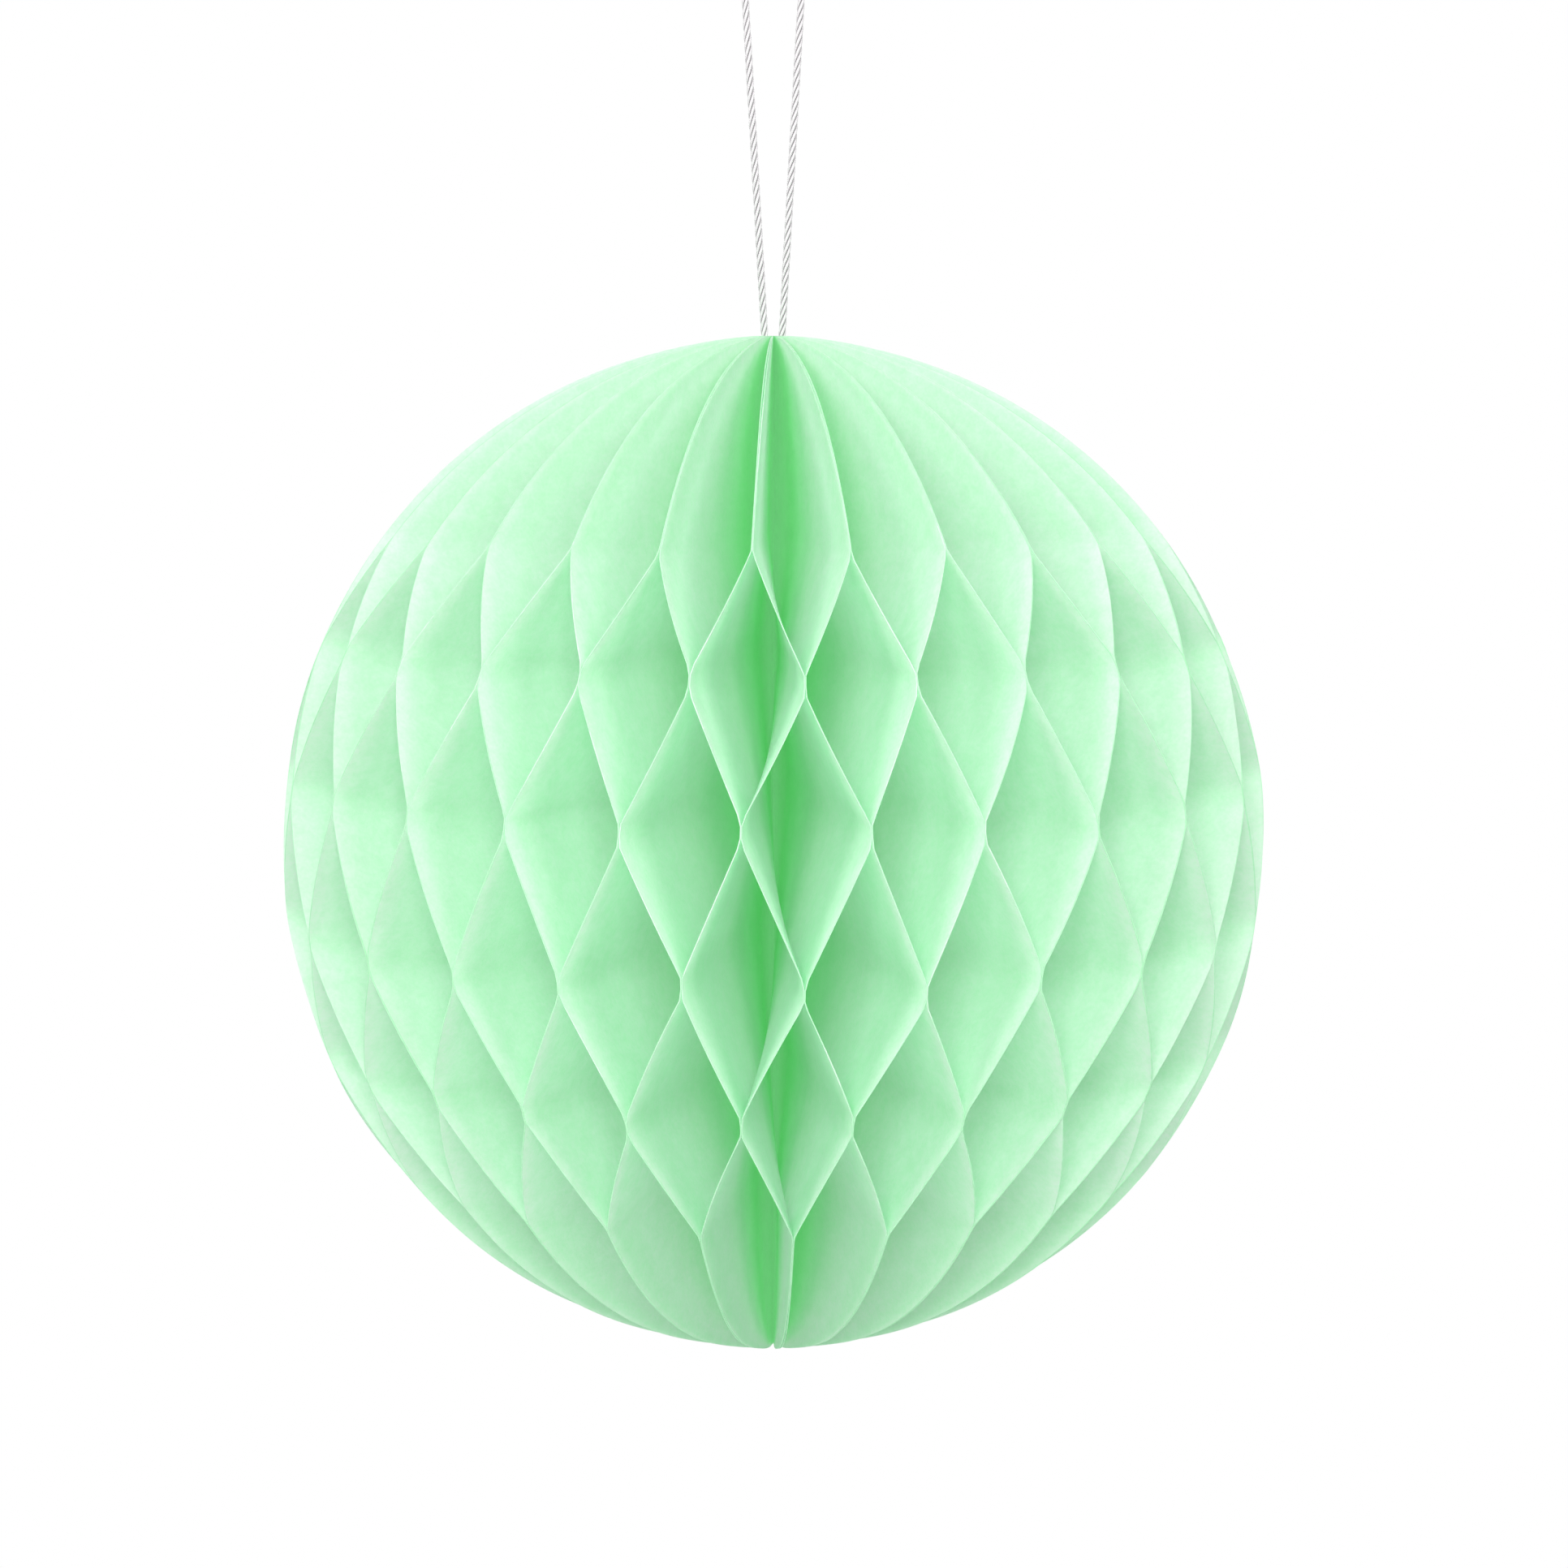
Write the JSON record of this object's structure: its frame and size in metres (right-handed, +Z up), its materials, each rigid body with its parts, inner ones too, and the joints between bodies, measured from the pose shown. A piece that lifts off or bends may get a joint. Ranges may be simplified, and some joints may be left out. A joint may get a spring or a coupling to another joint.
{
  "type": "paper honeycomb ball",
  "caption": "Round honeycomb ball of thin half-disc paper sheets glued in alternating rows, opened out between two card covers and hung from a thin cord loop.",
  "frame": {"origin": "where a hook bears on the inside of the hanging loop's crown, on the ball's axis", "axes": "+Z up along the ball's axis, +Y towards the seam at the back, +X to the right seen from the front"},
  "size_m": [0.0972, 0.0972, 0.1395],
  "materials": {
    "mint_paper": "matte thin mint-green paper, slightly translucent",
    "cover_card": "matte mint-green card",
    "adhesive_film": "clear double-sided adhesive film",
    "thread": "mint binding thread",
    "white_cord": "white twisted cord"
  },
  "bodies": {
    "hanger": {"hanging_cord": "white_cord"},
    "ball": {"cover_card_fixed": "cover_card", "adhesive_strip_upper": "adhesive_film", "adhesive_strip_lower": "adhesive_film", "binding_thread": "thread", "cord_knot": "white_cord"},
    "swinging_cover": {"cover_card_swinging": "cover_card"},
    "sheet_01": {"paper_sheet_01": "mint_paper"},
    "sheet_02": {"paper_sheet_02": "mint_paper"},
    "sheet_03": {"paper_sheet_03": "mint_paper"},
    "sheet_04": {"paper_sheet_04": "mint_paper"},
    "sheet_05": {"paper_sheet_05": "mint_paper"},
    "sheet_06": {"paper_sheet_06": "mint_paper"},
    "sheet_07": {"paper_sheet_07": "mint_paper"},
    "sheet_08": {"paper_sheet_08": "mint_paper"},
    "sheet_09": {"paper_sheet_09": "mint_paper"},
    "sheet_10": {"paper_sheet_10": "mint_paper"},
    "sheet_11": {"paper_sheet_11": "mint_paper"},
    "sheet_12": {"paper_sheet_12": "mint_paper"},
    "sheet_13": {"paper_sheet_13": "mint_paper"},
    "sheet_14": {"paper_sheet_14": "mint_paper"},
    "sheet_15": {"paper_sheet_15": "mint_paper"},
    "sheet_16": {"paper_sheet_16": "mint_paper"},
    "sheet_17": {"paper_sheet_17": "mint_paper"},
    "sheet_18": {"paper_sheet_18": "mint_paper"},
    "sheet_19": {"paper_sheet_19": "mint_paper"},
    "sheet_20": {"paper_sheet_20": "mint_paper"},
    "sheet_21": {"paper_sheet_21": "mint_paper"},
    "sheet_22": {"paper_sheet_22": "mint_paper"},
    "sheet_23": {"paper_sheet_23": "mint_paper"},
    "sheet_24": {"paper_sheet_24": "mint_paper"},
    "sheet_25": {"paper_sheet_25": "mint_paper"},
    "sheet_26": {"paper_sheet_26": "mint_paper"},
    "sheet_27": {"paper_sheet_27": "mint_paper"},
    "sheet_28": {"paper_sheet_28": "mint_paper"},
    "sheet_29": {"paper_sheet_29": "mint_paper"},
    "sheet_30": {"paper_sheet_30": "mint_paper"},
    "sheet_31": {"paper_sheet_31": "mint_paper"},
    "sheet_32": {"paper_sheet_32": "mint_paper"},
    "sheet_33": {"paper_sheet_33": "mint_paper"},
    "sheet_34": {"paper_sheet_34": "mint_paper"},
    "sheet_35": {"paper_sheet_35": "mint_paper"},
    "sheet_36": {"paper_sheet_36": "mint_paper"},
    "sheet_37": {"paper_sheet_37": "mint_paper"},
    "sheet_38": {"paper_sheet_38": "mint_paper"},
    "sheet_39": {"paper_sheet_39": "mint_paper"},
    "sheet_40": {"paper_sheet_40": "mint_paper"},
    "sheet_41": {"paper_sheet_41": "mint_paper"},
    "sheet_42": {"paper_sheet_42": "mint_paper"},
    "sheet_43": {"paper_sheet_43": "mint_paper"},
    "sheet_44": {"paper_sheet_44": "mint_paper"},
    "sheet_45": {"paper_sheet_45": "mint_paper"},
    "sheet_46": {"paper_sheet_46": "mint_paper"},
    "sheet_47": {"paper_sheet_47": "mint_paper"},
    "sheet_48": {"paper_sheet_48": "mint_paper"},
    "sheet_49": {"paper_sheet_49": "mint_paper"},
    "sheet_50": {"paper_sheet_50": "mint_paper"}
  },
  "joints": [
    {"name": "turn_on_cord", "type": "hinge", "parent": "hanger", "child": "ball", "pos_m": [0, 0, -0.089], "axis": [0, 0, 1], "range_deg": [-180, 180], "deforming": ["hanging_cord"]},
    {"name": "fold_cover", "type": "hinge", "parent": "ball", "child": "swinging_cover", "pos_m": [0, 0, -0.089], "axis": [0, 0, 1], "range_deg": [-350, 0]},
    {"name": "fold_sheet_01", "type": "hinge", "parent": "ball", "child": "sheet_01", "pos_m": [0, 0, -0.089], "axis": [0, 0, 1], "range_deg": [-3.14, 0], "deforming": ["paper_sheet_01"]},
    {"name": "fold_sheet_02", "type": "hinge", "parent": "ball", "child": "sheet_02", "pos_m": [0, 0, -0.089], "axis": [0, 0, 1], "range_deg": [-9.43, 0], "deforming": ["paper_sheet_02"]},
    {"name": "fold_sheet_03", "type": "hinge", "parent": "ball", "child": "sheet_03", "pos_m": [0, 0, -0.089], "axis": [0, 0, 1], "range_deg": [-15.8, 0], "deforming": ["paper_sheet_03"]},
    {"name": "fold_sheet_04", "type": "hinge", "parent": "ball", "child": "sheet_04", "pos_m": [0, 0, -0.089], "axis": [0, 0, 1], "range_deg": [-22.27, 0], "deforming": ["paper_sheet_04"]},
    {"name": "fold_sheet_05", "type": "hinge", "parent": "ball", "child": "sheet_05", "pos_m": [0, 0, -0.089], "axis": [0, 0, 1], "range_deg": [-28.88, 0], "deforming": ["paper_sheet_05"]},
    {"name": "fold_sheet_06", "type": "hinge", "parent": "ball", "child": "sheet_06", "pos_m": [0, 0, -0.089], "axis": [0, 0, 1], "range_deg": [-35.66, 0], "deforming": ["paper_sheet_06"]},
    {"name": "fold_sheet_07", "type": "hinge", "parent": "ball", "child": "sheet_07", "pos_m": [0, 0, -0.089], "axis": [0, 0, 1], "range_deg": [-42.61, 0], "deforming": ["paper_sheet_07"]},
    {"name": "fold_sheet_08", "type": "hinge", "parent": "ball", "child": "sheet_08", "pos_m": [0, 0, -0.089], "axis": [0, 0, 1], "range_deg": [-49.75, 0], "deforming": ["paper_sheet_08"]},
    {"name": "fold_sheet_09", "type": "hinge", "parent": "ball", "child": "sheet_09", "pos_m": [0, 0, -0.089], "axis": [0, 0, 1], "range_deg": [-57.06, 0], "deforming": ["paper_sheet_09"]},
    {"name": "fold_sheet_10", "type": "hinge", "parent": "ball", "child": "sheet_10", "pos_m": [0, 0, -0.089], "axis": [0, 0, 1], "range_deg": [-64.52, 0], "deforming": ["paper_sheet_10"]},
    {"name": "fold_sheet_11", "type": "hinge", "parent": "ball", "child": "sheet_11", "pos_m": [0, 0, -0.089], "axis": [0, 0, 1], "range_deg": [-72.11, 0], "deforming": ["paper_sheet_11"]},
    {"name": "fold_sheet_12", "type": "hinge", "parent": "ball", "child": "sheet_12", "pos_m": [0, 0, -0.089], "axis": [0, 0, 1], "range_deg": [-79.78, 0], "deforming": ["paper_sheet_12"]},
    {"name": "fold_sheet_13", "type": "hinge", "parent": "ball", "child": "sheet_13", "pos_m": [0, 0, -0.089], "axis": [0, 0, 1], "range_deg": [-87.5, 0], "deforming": ["paper_sheet_13"]},
    {"name": "fold_sheet_14", "type": "hinge", "parent": "ball", "child": "sheet_14", "pos_m": [0, 0, -0.089], "axis": [0, 0, 1], "range_deg": [-95.22, 0], "deforming": ["paper_sheet_14"]},
    {"name": "fold_sheet_15", "type": "hinge", "parent": "ball", "child": "sheet_15", "pos_m": [0, 0, -0.089], "axis": [0, 0, 1], "range_deg": [-102.89, 0], "deforming": ["paper_sheet_15"]},
    {"name": "fold_sheet_16", "type": "hinge", "parent": "ball", "child": "sheet_16", "pos_m": [0, 0, -0.089], "axis": [0, 0, 1], "range_deg": [-110.48, 0], "deforming": ["paper_sheet_16"]},
    {"name": "fold_sheet_17", "type": "hinge", "parent": "ball", "child": "sheet_17", "pos_m": [0, 0, -0.089], "axis": [0, 0, 1], "range_deg": [-117.94, 0], "deforming": ["paper_sheet_17"]},
    {"name": "fold_sheet_18", "type": "hinge", "parent": "ball", "child": "sheet_18", "pos_m": [0, 0, -0.089], "axis": [0, 0, 1], "range_deg": [-125.25, 0], "deforming": ["paper_sheet_18"]},
    {"name": "fold_sheet_19", "type": "hinge", "parent": "ball", "child": "sheet_19", "pos_m": [0, 0, -0.089], "axis": [0, 0, 1], "range_deg": [-132.39, 0], "deforming": ["paper_sheet_19"]},
    {"name": "fold_sheet_20", "type": "hinge", "parent": "ball", "child": "sheet_20", "pos_m": [0, 0, -0.089], "axis": [0, 0, 1], "range_deg": [-139.34, 0], "deforming": ["paper_sheet_20"]},
    {"name": "fold_sheet_21", "type": "hinge", "parent": "ball", "child": "sheet_21", "pos_m": [0, 0, -0.089], "axis": [0, 0, 1], "range_deg": [-146.12, 0], "deforming": ["paper_sheet_21"]},
    {"name": "fold_sheet_22", "type": "hinge", "parent": "ball", "child": "sheet_22", "pos_m": [0, 0, -0.089], "axis": [0, 0, 1], "range_deg": [-152.73, 0], "deforming": ["paper_sheet_22"]},
    {"name": "fold_sheet_23", "type": "hinge", "parent": "ball", "child": "sheet_23", "pos_m": [0, 0, -0.089], "axis": [0, 0, 1], "range_deg": [-159.2, 0], "deforming": ["paper_sheet_23"]},
    {"name": "fold_sheet_24", "type": "hinge", "parent": "ball", "child": "sheet_24", "pos_m": [0, 0, -0.089], "axis": [0, 0, 1], "range_deg": [-165.57, 0], "deforming": ["paper_sheet_24"]},
    {"name": "fold_sheet_25", "type": "hinge", "parent": "ball", "child": "sheet_25", "pos_m": [0, 0, -0.089], "axis": [0, 0, 1], "range_deg": [-171.86, 0], "deforming": ["paper_sheet_25"]},
    {"name": "fold_sheet_26", "type": "hinge", "parent": "ball", "child": "sheet_26", "pos_m": [0, 0, -0.089], "axis": [0, 0, 1], "range_deg": [-178.14, 0], "deforming": ["paper_sheet_26"]},
    {"name": "fold_sheet_27", "type": "hinge", "parent": "ball", "child": "sheet_27", "pos_m": [0, 0, -0.089], "axis": [0, 0, 1], "range_deg": [-184.43, 0], "deforming": ["paper_sheet_27"]},
    {"name": "fold_sheet_28", "type": "hinge", "parent": "ball", "child": "sheet_28", "pos_m": [0, 0, -0.089], "axis": [0, 0, 1], "range_deg": [-190.8, 0], "deforming": ["paper_sheet_28"]},
    {"name": "fold_sheet_29", "type": "hinge", "parent": "ball", "child": "sheet_29", "pos_m": [0, 0, -0.089], "axis": [0, 0, 1], "range_deg": [-197.27, 0], "deforming": ["paper_sheet_29"]},
    {"name": "fold_sheet_30", "type": "hinge", "parent": "ball", "child": "sheet_30", "pos_m": [0, 0, -0.089], "axis": [0, 0, 1], "range_deg": [-203.88, 0], "deforming": ["paper_sheet_30"]},
    {"name": "fold_sheet_31", "type": "hinge", "parent": "ball", "child": "sheet_31", "pos_m": [0, 0, -0.089], "axis": [0, 0, 1], "range_deg": [-210.66, 0], "deforming": ["paper_sheet_31"]},
    {"name": "fold_sheet_32", "type": "hinge", "parent": "ball", "child": "sheet_32", "pos_m": [0, 0, -0.089], "axis": [0, 0, 1], "range_deg": [-217.61, 0], "deforming": ["paper_sheet_32"]},
    {"name": "fold_sheet_33", "type": "hinge", "parent": "ball", "child": "sheet_33", "pos_m": [0, 0, -0.089], "axis": [0, 0, 1], "range_deg": [-224.75, 0], "deforming": ["paper_sheet_33"]},
    {"name": "fold_sheet_34", "type": "hinge", "parent": "ball", "child": "sheet_34", "pos_m": [0, 0, -0.089], "axis": [0, 0, 1], "range_deg": [-232.06, 0], "deforming": ["paper_sheet_34"]},
    {"name": "fold_sheet_35", "type": "hinge", "parent": "ball", "child": "sheet_35", "pos_m": [0, 0, -0.089], "axis": [0, 0, 1], "range_deg": [-239.52, 0], "deforming": ["paper_sheet_35"]},
    {"name": "fold_sheet_36", "type": "hinge", "parent": "ball", "child": "sheet_36", "pos_m": [0, 0, -0.089], "axis": [0, 0, 1], "range_deg": [-247.11, 0], "deforming": ["paper_sheet_36"]},
    {"name": "fold_sheet_37", "type": "hinge", "parent": "ball", "child": "sheet_37", "pos_m": [0, 0, -0.089], "axis": [0, 0, 1], "range_deg": [-254.78, 0], "deforming": ["paper_sheet_37"]},
    {"name": "fold_sheet_38", "type": "hinge", "parent": "ball", "child": "sheet_38", "pos_m": [0, 0, -0.089], "axis": [0, 0, 1], "range_deg": [-262.5, 0], "deforming": ["paper_sheet_38"]},
    {"name": "fold_sheet_39", "type": "hinge", "parent": "ball", "child": "sheet_39", "pos_m": [0, 0, -0.089], "axis": [0, 0, 1], "range_deg": [-270.22, 0], "deforming": ["paper_sheet_39"]},
    {"name": "fold_sheet_40", "type": "hinge", "parent": "ball", "child": "sheet_40", "pos_m": [0, 0, -0.089], "axis": [0, 0, 1], "range_deg": [-277.89, 0], "deforming": ["paper_sheet_40"]},
    {"name": "fold_sheet_41", "type": "hinge", "parent": "ball", "child": "sheet_41", "pos_m": [0, 0, -0.089], "axis": [0, 0, 1], "range_deg": [-285.48, 0], "deforming": ["paper_sheet_41"]},
    {"name": "fold_sheet_42", "type": "hinge", "parent": "ball", "child": "sheet_42", "pos_m": [0, 0, -0.089], "axis": [0, 0, 1], "range_deg": [-292.94, 0], "deforming": ["paper_sheet_42"]},
    {"name": "fold_sheet_43", "type": "hinge", "parent": "ball", "child": "sheet_43", "pos_m": [0, 0, -0.089], "axis": [0, 0, 1], "range_deg": [-300.25, 0], "deforming": ["paper_sheet_43"]},
    {"name": "fold_sheet_44", "type": "hinge", "parent": "ball", "child": "sheet_44", "pos_m": [0, 0, -0.089], "axis": [0, 0, 1], "range_deg": [-307.39, 0], "deforming": ["paper_sheet_44"]},
    {"name": "fold_sheet_45", "type": "hinge", "parent": "ball", "child": "sheet_45", "pos_m": [0, 0, -0.089], "axis": [0, 0, 1], "range_deg": [-314.34, 0], "deforming": ["paper_sheet_45"]},
    {"name": "fold_sheet_46", "type": "hinge", "parent": "ball", "child": "sheet_46", "pos_m": [0, 0, -0.089], "axis": [0, 0, 1], "range_deg": [-321.12, 0], "deforming": ["paper_sheet_46"]},
    {"name": "fold_sheet_47", "type": "hinge", "parent": "ball", "child": "sheet_47", "pos_m": [0, 0, -0.089], "axis": [0, 0, 1], "range_deg": [-327.73, 0], "deforming": ["paper_sheet_47"]},
    {"name": "fold_sheet_48", "type": "hinge", "parent": "ball", "child": "sheet_48", "pos_m": [0, 0, -0.089], "axis": [0, 0, 1], "range_deg": [-334.2, 0], "deforming": ["paper_sheet_48"]},
    {"name": "fold_sheet_49", "type": "hinge", "parent": "ball", "child": "sheet_49", "pos_m": [0, 0, -0.089], "axis": [0, 0, 1], "range_deg": [-340.57, 0], "deforming": ["paper_sheet_49"]},
    {"name": "fold_sheet_50", "type": "hinge", "parent": "ball", "child": "sheet_50", "pos_m": [0, 0, -0.089], "axis": [0, 0, 1], "range_deg": [-346.86, 0], "deforming": ["paper_sheet_50"]}
  ],
  "couplings": [
    {"joint": "fold_sheet_01", "follows": "fold_cover", "ratio": 0.008964},
    {"joint": "fold_sheet_02", "follows": "fold_cover", "ratio": 0.026956},
    {"joint": "fold_sheet_03", "follows": "fold_cover", "ratio": 0.04514},
    {"joint": "fold_sheet_04", "follows": "fold_cover", "ratio": 0.06363},
    {"joint": "fold_sheet_05", "follows": "fold_cover", "ratio": 0.082519},
    {"joint": "fold_sheet_06", "follows": "fold_cover", "ratio": 0.10188},
    {"joint": "fold_sheet_07", "follows": "fold_cover", "ratio": 0.12175},
    {"joint": "fold_sheet_08", "follows": "fold_cover", "ratio": 0.14214},
    {"joint": "fold_sheet_09", "follows": "fold_cover", "ratio": 0.16302},
    {"joint": "fold_sheet_10", "follows": "fold_cover", "ratio": 0.18434},
    {"joint": "fold_sheet_11", "follows": "fold_cover", "ratio": 0.20602},
    {"joint": "fold_sheet_12", "follows": "fold_cover", "ratio": 0.22794},
    {"joint": "fold_sheet_13", "follows": "fold_cover", "ratio": 0.25},
    {"joint": "fold_sheet_14", "follows": "fold_cover", "ratio": 0.27206},
    {"joint": "fold_sheet_15", "follows": "fold_cover", "ratio": 0.29398},
    {"joint": "fold_sheet_16", "follows": "fold_cover", "ratio": 0.31566},
    {"joint": "fold_sheet_17", "follows": "fold_cover", "ratio": 0.33698},
    {"joint": "fold_sheet_18", "follows": "fold_cover", "ratio": 0.35786},
    {"joint": "fold_sheet_19", "follows": "fold_cover", "ratio": 0.37825},
    {"joint": "fold_sheet_20", "follows": "fold_cover", "ratio": 0.39812},
    {"joint": "fold_sheet_21", "follows": "fold_cover", "ratio": 0.41748},
    {"joint": "fold_sheet_22", "follows": "fold_cover", "ratio": 0.43637},
    {"joint": "fold_sheet_23", "follows": "fold_cover", "ratio": 0.45486},
    {"joint": "fold_sheet_24", "follows": "fold_cover", "ratio": 0.47304},
    {"joint": "fold_sheet_25", "follows": "fold_cover", "ratio": 0.49104},
    {"joint": "fold_sheet_26", "follows": "fold_cover", "ratio": 0.50896},
    {"joint": "fold_sheet_27", "follows": "fold_cover", "ratio": 0.52696},
    {"joint": "fold_sheet_28", "follows": "fold_cover", "ratio": 0.54514},
    {"joint": "fold_sheet_29", "follows": "fold_cover", "ratio": 0.56363},
    {"joint": "fold_sheet_30", "follows": "fold_cover", "ratio": 0.58252},
    {"joint": "fold_sheet_31", "follows": "fold_cover", "ratio": 0.60188},
    {"joint": "fold_sheet_32", "follows": "fold_cover", "ratio": 0.62175},
    {"joint": "fold_sheet_33", "follows": "fold_cover", "ratio": 0.64214},
    {"joint": "fold_sheet_34", "follows": "fold_cover", "ratio": 0.66302},
    {"joint": "fold_sheet_35", "follows": "fold_cover", "ratio": 0.68434},
    {"joint": "fold_sheet_36", "follows": "fold_cover", "ratio": 0.70602},
    {"joint": "fold_sheet_37", "follows": "fold_cover", "ratio": 0.72794},
    {"joint": "fold_sheet_38", "follows": "fold_cover", "ratio": 0.75},
    {"joint": "fold_sheet_39", "follows": "fold_cover", "ratio": 0.77206},
    {"joint": "fold_sheet_40", "follows": "fold_cover", "ratio": 0.79398},
    {"joint": "fold_sheet_41", "follows": "fold_cover", "ratio": 0.81566},
    {"joint": "fold_sheet_42", "follows": "fold_cover", "ratio": 0.83698},
    {"joint": "fold_sheet_43", "follows": "fold_cover", "ratio": 0.85786},
    {"joint": "fold_sheet_44", "follows": "fold_cover", "ratio": 0.87825},
    {"joint": "fold_sheet_45", "follows": "fold_cover", "ratio": 0.89812},
    {"joint": "fold_sheet_46", "follows": "fold_cover", "ratio": 0.91748},
    {"joint": "fold_sheet_47", "follows": "fold_cover", "ratio": 0.93637},
    {"joint": "fold_sheet_48", "follows": "fold_cover", "ratio": 0.95486},
    {"joint": "fold_sheet_49", "follows": "fold_cover", "ratio": 0.97304},
    {"joint": "fold_sheet_50", "follows": "fold_cover", "ratio": 0.99104}
  ]
}
